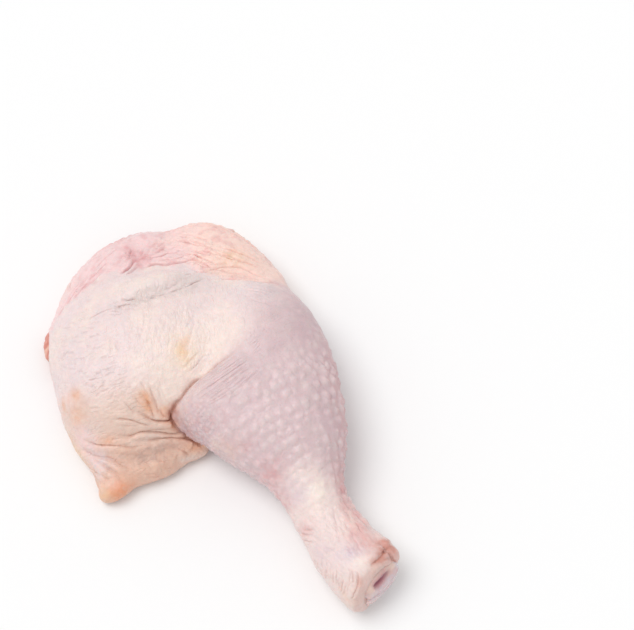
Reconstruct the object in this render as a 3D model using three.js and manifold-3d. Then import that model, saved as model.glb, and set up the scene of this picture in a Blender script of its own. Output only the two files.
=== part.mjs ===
// A raw chicken leg quarter lying skin side up on a board: thigh, drumstick, loose skin flap and cut hock.
// Millimetres, +Z up. The drumstick points along -Y and the thigh lies towards -X.
// Flesh is modelled as a field: negative inside, zero on the surface, and roughly the distance in mm.
import * as THREE from "three";
import { mergeVertices } from "three/addons/utils/BufferGeometryUtils.js";
import Module from "manifold-3d";

const wasm = await Module();
wasm.setup();
const radians = THREE.MathUtils.degToRad;
const fieldBox = new THREE.Box3(new THREE.Vector3(-82, -112, -4.4), new THREE.Vector3(68, 118, 56));

// Driving dimensions
const skinCell = 3.7; // grid step of the skin's surface
const meatCell = 4.2; // grid step of the bare meat's surface
const seatGap = 0.5; // clearance round the bone and the bare meat
const boardFillet = 3; // how softly the flesh turns under where it meets the board
const kneeEnd = 12; // how softly the drumstick ends inside the thigh
const hockRim = 5; // how softly the skin turns in at the cut hock
const calfCrease = { sharp: 4, soft: 18, from: -12, to: 32 }; // valley widths, and where in X it softens
const foldFade = { from: 2, to: 7 }; // the folds die out between these heights
const foldSteps = 8; // straight steps in each fold line

// Plump masses of the thigh: middle, half sizes, turn about Z, and how softly each joins the rest
const thighLobes = [
  { centre: [-15, 46, 12], radii: [56, 45, 28], turn: 4, blend: 0 }, // main muscle
  { centre: [-31, 75, 9], radii: [41, 28.5, 19], turn: 35, blend: 8 }, // back, hip side
  { centre: [20, 75.5, 9], radii: [35, 20, 20], turn: -60, blend: 10 }, // back, knee side
  { centre: [-45, 28, 9], radii: [27, 32, 20], turn: 8, blend: 12 }, // hip side
  { centre: [24, 33, 18], radii: [24.5, 30, 24], turn: 22, blend: 12 }, // knee
];

// The loose skin below the thigh, out to its fatty tip
const flapLobes = [
  { centre: [-42, 2, 5], radii: [25, 20, 11], turn: -16, blend: 9 },
  { centre: [-29, -5, 4.5], radii: [24, 11, 8], turn: 10, blend: 7 },
  { centre: [-55, -12, 4], radii: [9, 10, 7], turn: 10, blend: 7 },
];

// Drumstick sections from the knee down: place along Y, middle in X and Z, half width and half height
const drumstickStations = [
  { y: 46, x: 28, z: 20, wide: 17, high: 15 },
  { y: 22, x: 26, z: 21.5, wide: 26, high: 20 },
  { y: 5, x: 18, z: 23, wide: 36.5, high: 23 },
  { y: -13, x: 22.3, z: 22, wide: 31.4, high: 22.5 },
  { y: -25, x: 26.5, z: 20.5, wide: 24.5, high: 20.5 },
  { y: -34, x: 29, z: 19, wide: 19.3, high: 17.5 },
  { y: -42, x: 30.6, z: 17.5, wide: 15.8, high: 15 },
  { y: -50, x: 32, z: 16, wide: 14.2, high: 13.2 },
  { y: -58, x: 34, z: 15, wide: 14.4, high: 12.3 },
  { y: -66, x: 37, z: 14.5, wide: 15.6, high: 12.8 },
  { y: -75, x: 39.8, z: 14.5, wide: 17.4, high: 14 },
  { y: -86, x: 43.2, z: 14.7, wide: 17, high: 14.7 },
  { y: -104, x: 48, z: 14, wide: 13, high: 13 },
];

// The cut through the hock joint, and the two knuckles of the shank bone that show in it
const cutCentre = new THREE.Vector3(48.5, -91.5, 14.5);
const cutYaw = 32; // degrees from -Y towards +X
const cutLift = 10; // degrees above level
const knuckle = { across: 11.5, tall: 6.6, deep: 7.5, apart: 8.4, inset: 4.5 };
const shankEnd = new THREE.Vector3(27, 18, 22);
const shankProfile = [ // radius, and the share of the way from hock to knee
  [7.5, 0.001],
  [6, 0.12],
  [4.4, 0.35],
  [4.4, 0.65],
  [5.6, 0.88],
  [7, 0.999],
];

// The bare meat of the inner thigh, which the skin doesn't cover
const meatLobes = [
  { centre: [-28, 60, 5], radii: [45, 27, 13], turn: 0, blend: 0 },
  { centre: [-8, 34, 3], radii: [28, 22, 13], turn: 20, blend: 8 },
];

// Folds and creases of the skin, as bent lines in plan: a positive depth sinks, a negative one stands up
const folds = [
  { from: [-33, 78], bend: [-12, 80], to: [8, 67], depth: 1.8, width: 3.6 }, // above the roll
  { from: [8, 67], bend: [30, 64], to: [46, 46], depth: 1.2, width: 3.6 }, // its run to the knee
  { from: [-34, 66], bend: [-14, 69], to: [6, 64], depth: -1.4, width: 5 }, // the roll
  { from: [-38, 57], bend: [-20, 59], to: [4, 62], depth: 1.6, width: 3.6 }, // below the roll
  { from: [-15, -4], bend: [-32, -2], to: [-54, 4], depth: 1.8, width: 3.4 }, // thigh to flap
  { from: [-22, -10], bend: [-42, -10], to: [-62, 0], depth: 1.2, width: 3.4 }, // second fold of the flap
  { from: [-20, 6], bend: [-28, 6], to: [-40, 11], depth: 1.2, width: 3.4 }, // tuck behind the knee
];

// Joins two distances with a soft valley of the given width.
function softUnion(a, b, width) {
  if (width <= 0) return Math.min(a, b);
  const h = Math.max(width - Math.abs(a - b), 0) / width;
  return Math.min(a, b) - (h * h * width) / 4;
}

// Keeps what is inside both, with an edge rounded over the given width.
function softCut(a, b, width) {
  return -softUnion(-a, -b, width);
}

function lobeDistance(p, lobe) {
  const angle = radians(lobe.turn);
  const dx = p.x - lobe.centre[0];
  const dy = p.y - lobe.centre[1];
  const u = (dx * Math.cos(angle) + dy * Math.sin(angle)) / lobe.radii[0];
  const v = (dy * Math.cos(angle) - dx * Math.sin(angle)) / lobe.radii[1];
  const w = (p.z - lobe.centre[2]) / lobe.radii[2];
  const reach = Math.hypot(u, v, w);
  const slope = Math.hypot(u / lobe.radii[0], v / lobe.radii[1], w / lobe.radii[2]);
  return slope > 0 ? (reach * (reach - 1)) / slope : -Math.min(...lobe.radii);
}

function lobesDistance(p, lobes) {
  return lobes.reduce((sum, lobe) => softUnion(sum, lobeDistance(p, lobe), lobe.blend), Infinity);
}

// A smooth curve along Y through one measure of the drumstick's sections.
function sectionCurve(measure) {
  const last = drumstickStations.length - 1;
  const value = (i) => drumstickStations[i][measure];
  const slope = (i) => {
    const [a, b] = [Math.max(i - 1, 0), Math.min(i + 1, last)];
    return (value(b) - value(a)) / (drumstickStations[b].y - drumstickStations[a].y);
  };
  return (y) => {
    let i = 0;
    while (i < last - 1 && y < drumstickStations[i + 1].y) i++;
    const span = drumstickStations[i + 1].y - drumstickStations[i].y;
    const t = THREE.MathUtils.clamp((y - drumstickStations[i].y) / span, 0, 1);
    const between = THREE.MathUtils.lerp(value(i), value(i + 1), t * t * (3 - 2 * t));
    const bulge = slope(i) * (1 - t) - slope(i + 1) * t;
    return between + bulge * span * t * (1 - t);
  };
}

const drumstick = {
  x: sectionCurve("x"),
  z: sectionCurve("z"),
  wide: sectionCurve("wide"),
  high: sectionCurve("high"),
};

function drumstickDistance(p) {
  const wide = drumstick.wide(p.y);
  const high = drumstick.high(p.y);
  const reach = Math.hypot((p.x - drumstick.x(p.y)) / wide, (p.z - drumstick.z(p.y)) / high);
  return softCut((reach - 1) * Math.min(wide, high), p.y - drumstickStations[0].y, kneeEnd);
}

const foldLines = folds.map((fold) => {
  const ends = [fold.from, fold.bend, fold.to].map(([x, y]) => new THREE.Vector2(x, y));
  return { ...fold, points: new THREE.QuadraticBezierCurve(...ends).getPoints(foldSteps) };
});

// The gap in plan between a point and a fold, and the share of the fold's length at the nearest place.
function nearestOn({ points }, p) {
  let best = { gap: Infinity, along: 0 };
  for (let i = 0; i < foldSteps; i++) {
    const [a, b] = [points[i], points[i + 1]];
    const [dx, dy] = [b.x - a.x, b.y - a.y];
    const t = THREE.MathUtils.clamp(((p.x - a.x) * dx + (p.y - a.y) * dy) / (dx * dx + dy * dy), 0, 1);
    const gap = Math.hypot(p.x - a.x - t * dx, p.y - a.y - t * dy);
    if (gap < best.gap) best = { gap, along: (i + t) / foldSteps };
  }
  return best;
}

// How far the folds sink the skin at a point: each fades out towards its ends, and low on the sides.
function foldDepth(p) {
  const depth = foldLines.reduce((sum, fold) => {
    const { gap, along } = nearestOn(fold, p);
    return sum + fold.depth * Math.sqrt(Math.sin(Math.PI * along)) * Math.exp(-((gap / fold.width) ** 2));
  }, 0);
  return depth * THREE.MathUtils.smoothstep(p.z, foldFade.from, foldFade.to);
}

const cutNormal = new THREE.Vector3(0, -1, 0)
  .applyAxisAngle(new THREE.Vector3(1, 0, 0), -radians(cutLift))
  .applyAxisAngle(new THREE.Vector3(0, 0, 1), radians(cutYaw));

function legField(p) {
  const thigh = lobesDistance(p, [...thighLobes, ...flapLobes]);
  const { sharp, soft, from, to } = calfCrease;
  const crease = THREE.MathUtils.lerp(sharp, soft, THREE.MathUtils.smoothstep(p.x, from, to));
  const skin = softUnion(thigh, drumstickDistance(p), crease) + foldDepth(p);
  const trimmed = softCut(skin, cutNormal.dot(p.clone().sub(cutCentre)), hockRim);
  return softCut(trimmed, -p.z, boardFillet);
}

// The bare meat, or its seat when grown: a grown one also reaches below the board, to cut right through.
function meatField(p, grow) {
  return softCut(lobesDistance(p, meatLobes) - grow, -p.z - grow * 2, boardFillet);
}

// Slides a point along the field's slope until it lies on the surface, but never far.
function settle(field, point, most) {
  const probe = 0.05;
  const flattest = 0.1; // a slope under this is a kink, where a full step would overshoot
  const here = field(point);
  const slope = new THREE.Vector3(
    field(point.clone().setX(point.x + probe)) - here,
    field(point.clone().setY(point.y + probe)) - here,
    field(point.clone().setZ(point.z + probe)) - here,
  ).divideScalar(probe);
  const step = slope.multiplyScalar(-here / Math.max(slope.lengthSq(), flattest));
  return point.add(step.clampLength(0, most));
}

// Covers a field's surface: a point in each grid cell that it crosses, and a quad round each crossed edge.
function surfaceOf(field, cell) {
  const [nx, ny, nz] = fieldBox.getSize(new THREE.Vector3()).divideScalar(cell).ceil().addScalar(1).toArray();
  const at = ([i, j, k]) => (k * ny + j) * nx + i;
  const place = (node) => new THREE.Vector3(...node).multiplyScalar(cell).add(fieldBox.min);
  const shift = (node, axis, steps) => node.map((n, a) => (a === axis ? n + steps : n));
  const value = new Float64Array(nx * ny * nz);
  const nodes = [];
  for (let k = 0; k < nz; k++)
    for (let j = 0; j < ny; j++)
      for (let i = 0; i < nx; i++) nodes.push([i, j, k]);
  for (const node of nodes) value[at(node)] = field(place(node)) || 1e-6;

  const crossed = []; // grid edges whose ends lie on different sides
  const cells = new Map(); // the crossings round each cell
  for (const node of nodes)
    for (const axis of [0, 1, 2]) {
      const next = shift(node, axis, 1);
      if (next[0] >= nx || next[1] >= ny || next[2] >= nz) continue;
      const [f0, f1] = [value[at(node)], value[at(next)]];
      if (f0 < 0 === f1 < 0) continue;
      const [u, v] = [(axis + 1) % 3, (axis + 2) % 3];
      const round = [
        [-1, -1],
        [0, -1],
        [0, 0],
        [-1, 0],
      ].map(([s, t]) => at(shift(shift(node, u, s), v, t)));
      const point = place(node).lerp(place(next), f0 / (f0 - f1));
      for (const id of round) cells.set(id, [...(cells.get(id) ?? []), point]);
      crossed.push(f0 < 0 ? round : round.reverse());
    }

  const points = [];
  const pointOf = new Map();
  for (const [id, crossings] of cells) {
    const middle = crossings.reduce((sum, p) => sum.add(p), new THREE.Vector3());
    middle.divideScalar(crossings.length);
    pointOf.set(id, points.push(settle(field, middle, cell / 3)) - 1);
  }
  const index = crossed.flatMap((round) => {
    const [a, b, c, d] = round.map((id) => pointOf.get(id));
    const stray = (i, j) => Math.abs(field(points[i].clone().lerp(points[j], 0.5)));
    return stray(a, c) < stray(b, d) ? [a, b, c, a, c, d] : [a, b, d, b, c, d];
  });
  const geometry = new THREE.BufferGeometry();
  geometry.setAttribute("position", new THREE.Float32BufferAttribute(points.flatMap((p) => p.toArray()), 3));
  return geometry.setIndex(index);
}

function solidOf(geometry) {
  const bare = geometry.clone().deleteAttribute("normal").deleteAttribute("uv");
  const merged = mergeVertices(bare, 1e-4);
  return new wasm.Manifold(
    new wasm.Mesh({
      numProp: 3,
      vertProperties: new Float32Array(merged.attributes.position.array),
      triVerts: new Uint32Array(merged.index.array),
    }),
  );
}

function geometryOf(solid) {
  const mesh = solid.getMesh();
  const geometry = new THREE.BufferGeometry();
  geometry.setAttribute("position", new THREE.BufferAttribute(mesh.vertProperties, 3));
  geometry.setIndex(new THREE.BufferAttribute(mesh.triVerts, 1));
  return geometry;
}

// The shank bone: two knuckles, one above the other, and a waisted shaft that runs up to the knee.
function shankSolid(grow) {
  const facing = new THREE.Quaternion().setFromUnitVectors(new THREE.Vector3(0, -1, 0), cutNormal);
  const upright = new THREE.Vector3(0, 0, 1).applyQuaternion(facing);
  const middle = cutCentre.clone().addScaledVector(cutNormal, -knuckle.inset);
  const knuckles = [-1, 1].map((side) => {
    const half = new THREE.SphereGeometry(1, 20, 12);
    half.scale(knuckle.across + grow, knuckle.deep + grow, knuckle.tall + grow).applyQuaternion(facing);
    const centre = middle.clone().addScaledVector(upright, (side * knuckle.apart) / 2);
    return solidOf(half.translate(...centre.toArray()));
  });
  const along = shankEnd.clone().sub(middle);
  const length = along.length() + grow;
  const side = new THREE.SplineCurve(
    shankProfile.map(([radius, share]) => new THREE.Vector2(radius + grow, share * length)),
  );
  const outline = [new THREE.Vector2(0, 0), ...side.getPoints(12), new THREE.Vector2(0, length)];
  const shaft = new THREE.LatheGeometry(outline, 16);
  const lean = new THREE.Quaternion().setFromUnitVectors(new THREE.Vector3(0, 1, 0), along.normalize());
  shaft.applyQuaternion(lean).translate(...middle.toArray());
  return knuckles[0].add(knuckles[1]).add(solidOf(shaft));
}

const meatSolid = (grow) => solidOf(surfaceOf((p) => meatField(p, grow), meatCell));

const parts = [
  {
    name: "leg",
    color: 0xe3c9c6,
    roughness: 0.45,
    solid: solidOf(surfaceOf(legField, skinCell)).subtract(shankSolid(seatGap)).subtract(meatSolid(seatGap)),
  },
  { name: "shank_bone", color: 0xe9dde0, roughness: 0.3, solid: shankSolid(0) },
  { name: "thigh_meat", color: 0xc9736a, roughness: 0.4, solid: meatSolid(0) },
];

const legQuarter = new THREE.Group();
for (const { name, color, roughness, solid } of parts) {
  const material = new THREE.MeshStandardMaterial({ color, roughness, metalness: 0 });
  const mesh = new THREE.Mesh(geometryOf(solid), material);
  mesh.name = name;
  legQuarter.add(mesh);
}

// The origin goes to the middle of the leg's box, on the board.
const box = new THREE.Box3().setFromObject(legQuarter);
const middle = box.getCenter(new THREE.Vector3());
for (const mesh of legQuarter.children) mesh.geometry.translate(-middle.x, -middle.y, -box.min.z);
export default legQuarter;
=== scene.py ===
# Raw chicken leg quarter, skin side up: folded and pimpled skin, cut hock, bare meat of the inner thigh.
import math
import random

import bmesh
import bpy
import numpy as np
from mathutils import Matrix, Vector, noise
from mathutils.bvhtree import BVHTree
from mathutils.kdtree import KDTree


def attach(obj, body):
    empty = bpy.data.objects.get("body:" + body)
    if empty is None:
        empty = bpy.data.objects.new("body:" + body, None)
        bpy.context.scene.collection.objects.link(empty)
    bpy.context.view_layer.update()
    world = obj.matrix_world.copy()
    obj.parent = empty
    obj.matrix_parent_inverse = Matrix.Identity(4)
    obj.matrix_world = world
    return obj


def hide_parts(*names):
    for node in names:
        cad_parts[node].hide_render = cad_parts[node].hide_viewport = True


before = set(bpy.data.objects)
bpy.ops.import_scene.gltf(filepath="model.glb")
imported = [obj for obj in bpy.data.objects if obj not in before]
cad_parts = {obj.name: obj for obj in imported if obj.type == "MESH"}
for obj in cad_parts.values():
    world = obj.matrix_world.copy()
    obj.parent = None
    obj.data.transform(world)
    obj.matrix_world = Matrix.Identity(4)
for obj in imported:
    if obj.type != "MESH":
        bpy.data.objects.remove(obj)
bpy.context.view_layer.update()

mm = 0.001  # the frame is in metres; sizes and places below are in millimetres

stage = {
    "azimuth": -15,  # degrees round from the front
    "elevation": 62,
    "distance": 674,
    "aim": (59.2, 23.9, 41.6),  # what the middle of the picture looks at
    "lens": 85,
    "sensor": 36,
    "picture": (634, 630),
    "floorSize": 6000,
    "floorDrop": 0.1,
    "floorTone": 0.93,
    "skyStrength": 0.71,
    "sunStrength": 1.25,
    "sunFrom": (-0.4, 0.2, 1.0),
    "sunAngle": 38,
}


def direction(azimuth, elevation):
    a, e = math.radians(azimuth), math.radians(elevation)
    return Vector((math.sin(a) * math.cos(e), -math.cos(a) * math.cos(e), math.sin(e)))


viewBack = direction(stage["azimuth"], stage["elevation"])
eye = Vector(stage["aim"]) + viewBack * stage["distance"]


def level(azimuth):  # to the right of someone who looks from there
    return math.cos(math.radians(azimuth)), math.sin(math.radians(azimuth)), 0


def newObject(name, data):
    made = bpy.data.objects.new(name, data)
    bpy.context.scene.collection.objects.link(made)
    return made


def addCamera():
    camera = newObject("camera", bpy.data.cameras.new("camera"))
    camera.location = eye * mm
    camera.rotation_mode = "QUATERNION"
    camera.rotation_quaternion = (-viewBack).to_track_quat("-Z", "Y")
    camera.data.sensor_width = stage["sensor"]
    camera.data.lens = stage["lens"]
    camera.data.clip_start = 0.01
    bpy.context.scene.camera = camera


def addLights():
    world = bpy.data.worlds.new("studio")
    world.use_nodes = True
    sky = world.node_tree.nodes["Background"]
    sky.inputs["Color"].default_value = (1, 1, 1, 1)
    sky.inputs["Strength"].default_value = stage["skyStrength"]
    bpy.context.scene.world = world
    sun = newObject("softSun", bpy.data.lights.new("softSun", "SUN"))
    sun.data.energy = stage["sunStrength"]
    sun.data.angle = math.radians(stage["sunAngle"])
    sun.rotation_euler = Vector(stage["sunFrom"]).to_track_quat("Z", "Y").to_euler()


def addFloor():
    plan = bmesh.new()
    bmesh.ops.create_grid(plan, x_segments=1, y_segments=1, size=stage["floorSize"] / 2 * mm)
    mesh = bpy.data.meshes.new("floor")
    plan.to_mesh(mesh)
    plan.free()
    floor = newObject("floor", mesh)
    floor.location.z = -stage["floorDrop"] * mm
    pale = bpy.data.materials.new("paleFloor")
    pale.use_nodes = True
    shader = pale.node_tree.nodes["Principled BSDF"]
    shader.inputs["Base Color"].default_value = (*[stage["floorTone"]] * 3, 1)
    shader.inputs["Roughness"].default_value = 0.8
    shader.inputs["Specular IOR Level"].default_value = 0.1
    mesh.materials.append(pale)


def smooth(low, high, value):
    t = np.clip((value - low) / (high - low), 0, 1)
    return t * t * (3 - 2 * t)


def bell(value):
    return np.exp(-(value**2))


def blob(points, centre, size):  # 1 at the centre, fading over the size
    gap = np.linalg.norm((points - np.array(centre)) / np.array(size), axis=1)
    return np.exp(-gap * gap)


def readPoints(mesh, what="co"):
    values = np.empty(len(mesh.vertices) * 3, np.float32)
    mesh.vertices.foreach_get(what, values)
    values = values.reshape(-1, 3).astype(float)
    return values / mm if what == "co" else values


def surface(mesh):
    return readPoints(mesh), readPoints(mesh, "normal")


def writePoints(mesh, points):
    mesh.vertices.foreach_set("co", (points * mm).astype(np.float32).ravel())
    mesh.update()


def treeOf(mesh):
    faces = [f.vertices[:] for f in mesh.polygons]
    return BVHTree.FromPolygons([tuple(p) for p in readPoints(mesh)], faces)


def noiseAt(points, size, seed=0, octaves=3):
    shift = np.array((seed * 17.3, seed * 5.1, seed * 9.7))
    return np.array([noise.fractal(p, 1.0, 2.0, octaves) for p in points / np.array(size) + shift])


def streaksAt(points, heading, across, along, seed, octaves=2):  # noise drawn out along a heading in plan
    turn = math.radians(heading)
    u = points[:, 0] * math.sin(turn) - points[:, 1] * math.cos(turn)
    v = points[:, 0] * math.cos(turn) + points[:, 1] * math.sin(turn)
    return noiseAt(np.column_stack([u / across, v / along, points[:, 2] / along]), 1, seed, octaves)


def linear(colour):
    c = np.array(colour) / 255
    return np.where(c <= 0.04045, c / 12.92, ((c + 0.055) / 1.055) ** 2.4)


def onSkin(tree, spot):  # a place in millimetres, or a pixel of the picture seen from the camera
    if len(spot) == 3:
        return tree.find_nearest(Vector(spot))[0]
    wide, high = stage["picture"]
    right = Vector(level(stage["azimuth"]))
    up = right.cross(-viewBack)
    scale = stage["sensor"] / stage["lens"] / wide
    ray = -viewBack + right * (spot[0] - wide / 2) * scale + up * (high / 2 - spot[1]) * scale
    return tree.ray_cast(eye, ray.normalized())[0]


def curveThrough(spots, step=1.0):  # points about a step apart on a smooth curve
    p = [Vector(q) for q in spots]
    p = [p[0] * 2 - p[1]] + p + [p[-1] * 2 - p[-2]]
    curve = []
    for a, b, c, d in zip(p, p[1:], p[2:], p[3:]):
        count = max(2, int((c - b).length / step))
        for t in [i / count for i in range(count)]:
            bend = (2 * a - 5 * b + 4 * c - d) * t * t + (3 * b - a - 3 * c + d) * t**3
            curve.append(0.5 * (2 * b + (c - a) * t + bend))
    return curve + [p[-2]]


def lineOnSkin(tree, spots, step=1.0):
    hits = [hit for hit in (onSkin(tree, spot) for spot in spots) if hit]
    return [tree.find_nearest(q)[0] for q in curveThrough(hits, step)] if len(hits) > 1 else []


def nearLine(points, normals, line, reach):
    # the points within reach of a line: their offset, signed gap (positive to its left) and share along it
    line = np.array([tuple(q) for q in line])
    low, high = line.min(0) - reach, line.max(0) + reach
    ids = np.nonzero(((points > low) & (points < high)).all(1))[0]
    near, best = points[ids], np.full(len(ids), 1e9)
    off, along, side = np.zeros((len(ids), 3)), np.zeros(len(ids)), np.ones(len(ids))
    for i in range(len(line) - 1):
        a, d = line[i], line[i + 1] - line[i]
        t = np.clip((near - a) @ d / (d @ d), 0, 1)
        out = near - a - t[:, None] * d
        gap = np.linalg.norm(out, axis=1)
        closer = gap < best
        best[closer], off[closer] = gap[closer], out[closer]
        along[closer] = (i + t[closer]) / (len(line) - 1)
        side[closer] = np.sign((np.cross(d, out[closer]) * normals[ids][closer]).sum(1))
    keep = best < reach
    return ids[keep], off[keep], (best * side)[keep], along[keep]


def sideOf(points, line):  # signed gap in plan to a line: positive to its right
    best, side = np.full(len(points), 1e9), np.ones(len(points))
    for a, b in zip(line, line[1:]):
        a, d = np.array(a[:2], float), np.array(b[:2], float) - np.array(a[:2], float)
        t = np.clip((points[:, :2] - a) @ d / (d @ d), 0, 1)
        out = points[:, :2] - a - t[:, None] * d
        gap = np.linalg.norm(out, axis=1)
        closer = gap < best
        best[closer] = gap[closer]
        side[closer] = np.sign(out[:, 0] * d[1] - out[:, 1] * d[0])[closer]
    return best * side


def joined(name, works):
    mesh = bpy.data.meshes.new(name)
    whole = bmesh.new()
    for work in works:
        work.to_mesh(mesh)
        whole.from_mesh(mesh)
        work.free()
    whole.to_mesh(mesh)
    whole.free()
    return newObject(name, mesh)


def meshOf(name):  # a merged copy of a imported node's mesh
    work = bmesh.new()
    work.from_mesh(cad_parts[name].data)
    bmesh.ops.remove_doubles(work, verts=work.verts, dist=0.001 * mm)
    return work


def applyModifiers(piece):
    graph = bpy.context.evaluated_depsgraph_get()
    made = bpy.data.meshes.new_from_object(piece.evaluated_get(graph))
    piece.modifiers.clear()
    piece.data = made


# small shifts in plan that bring the outline closer to the picture's: where, how far, how large
shifts = [
    ((-43, -26, 6), (-0.2, 2.0), (9, 7, 30)),  # lower edge of the flap
    ((-31, -25, 6), (-0.3, 2.7), (9, 7, 30)),
    ((-19, -22.5, 6), (-0.3, 2.7), (9, 7, 30)),
    ((-10, -19.5, 4), (-0.2, 2.7), (7, 6, 30)),
    ((-58, -6, 7), (1.6, 0.2), (7, 9, 30)),  # hip side
    ((-63, 29, 10), (1.8, 0), (9, 12, 30)),
    ((-51, 72, 15), (1.4, -2.6), (11, 11, 40)),  # back of the thigh
    ((-38, 84, 15), (1.1, -2.6), (11, 10, 40)),
    ((52, -61, 18), (-1.3, 0), (6, 9, 30)),  # ankle
    ((57, -75, 18), (-1.6, 0), (6, 9, 30)),
    ((58, -98, 12), (-1.5, 1.6), (7, 7, 12)),  # lower side of the cut
]


def shifted(points):
    moved = points.copy()
    for place, offset, size in shifts:
        moved[:, :2] += np.outer(blob(points, place, size), offset)
    return moved


def remesh(piece, voxel, rounds):
    cells = piece.modifiers.new("voxels", "REMESH")
    cells.mode = "VOXEL"
    cells.voxel_size = voxel * mm
    cells.use_smooth_shade = True
    ease = piece.modifiers.new("ease", "SMOOTH")
    ease.factor = 0.5
    ease.iterations = rounds
    applyModifiers(piece)
    writePoints(piece.data, shifted(readPoints(piece.data)))


def thinUnderside(piece, height, keep):  # fewer faces where the piece lies flat
    points, normals = surface(piece.data)
    flat = np.nonzero((points[:, 2] < height) & (normals[:, 2] < -0.98))[0]
    piece.vertex_groups.new(name="flat").add(flat.tolist(), 1, "ADD")
    thin = piece.modifiers.new("thin", "DECIMATE")
    thin.vertex_group = "flat"
    thin.ratio = 1 - (1 - keep) * len(flat) / len(points)
    applyModifiers(piece)
    piece.vertex_groups.clear()


def thinTo(piece, most):  # keeps the small forms and thins what is smooth
    piece.data.calc_loop_triangles()
    thin = piece.modifiers.new("thin", "DECIMATE")
    thin.ratio = min(1, most / len(piece.data.loop_triangles))
    thin.use_collapse_triangulate = True
    applyModifiers(piece)


def refine(mesh, chosen):  # halves the faces whose corners are all chosen
    work = bmesh.new()
    work.from_mesh(mesh)
    edges = [e for e in work.edges if chosen[e.verts[0].index] and chosen[e.verts[1].index]]
    made = bmesh.ops.subdivide_edges(work, edges=edges, cuts=1, use_grid_fill=True)
    fresh = [v for v in made["geom_inner"] if isinstance(v, bmesh.types.BMVert)]
    bmesh.ops.smooth_vert(work, verts=fresh, factor=0.5, use_axis_x=True, use_axis_y=True, use_axis_z=True)
    for face in work.faces:
        face.smooth = True
    work.to_mesh(mesh)
    work.free()


def node(tree, kind, links=None, **values):
    made = tree.nodes.new(kind)
    for key, value in values.items():
        setattr(made, key, value)
    for socket, source in (links or {}).items():
        if isinstance(source, bpy.types.NodeSocket):
            tree.links.new(source, made.inputs[socket])
        else:
            made.inputs[socket].default_value = source
    return made


skin = {
    "voxel": 0.66,
    "smoothing": 5,
    "plugGrowth": 1.2,
    "boneSeat": 0.6,  # how deep the seats of bone and meat stay open
    "meatSeat": 0.8,
    "meatSide": -61.5,  # the bare meat shows past here
    "underside": 0.25,
    "undersideShare": 0.12,
    "fineReach": 1.9,  # the mesh is finer this near a crease
    "triangles": 190000,
}

hock = {"centre": (55.9, -95.8, 14.5), "yaw": 32, "lift": 10}  # the cut

# lines on the skin as pixels of the picture, or as places in millimetres where it doesn't show
calfCrease = [
    (214, 453), (205, 448), (196, 443), (190, 439), (184, 434), (178, 429), (173, 423), (171, 418),
    (173, 410), (176, 403), (181, 398), (187, 390), (194, 383), (203, 377), (210, 371), (218, 363),
    (227, 357), (236, 349), (248, 339),
]
pinkEdge = [
    (49, 345), (56, 322), (68, 303), (83, 291), (97, 280), (110, 272), (122, 273), (134, 266), (150, 266),
    (168, 265), (184, 263), (200, 271), (220, 277), (240, 280), (262, 282), (276, 285), (288, 293),
    (297, 304),
]


def fold(deep, wide, dark, path, tone="crease", lips=None, ends=(0.3, 0.4)):
    # one crease: dark is how strong the painted shade along it is, lips how far the skin rises left and
    # right of it, ends how long it fades in and out
    lips = lips or (0.8 * deep, 0.5 * deep)
    return dict(deep=deep, wide=wide, dark=dark, path=path, tone=tone, lips=lips, ends=ends)


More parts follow.
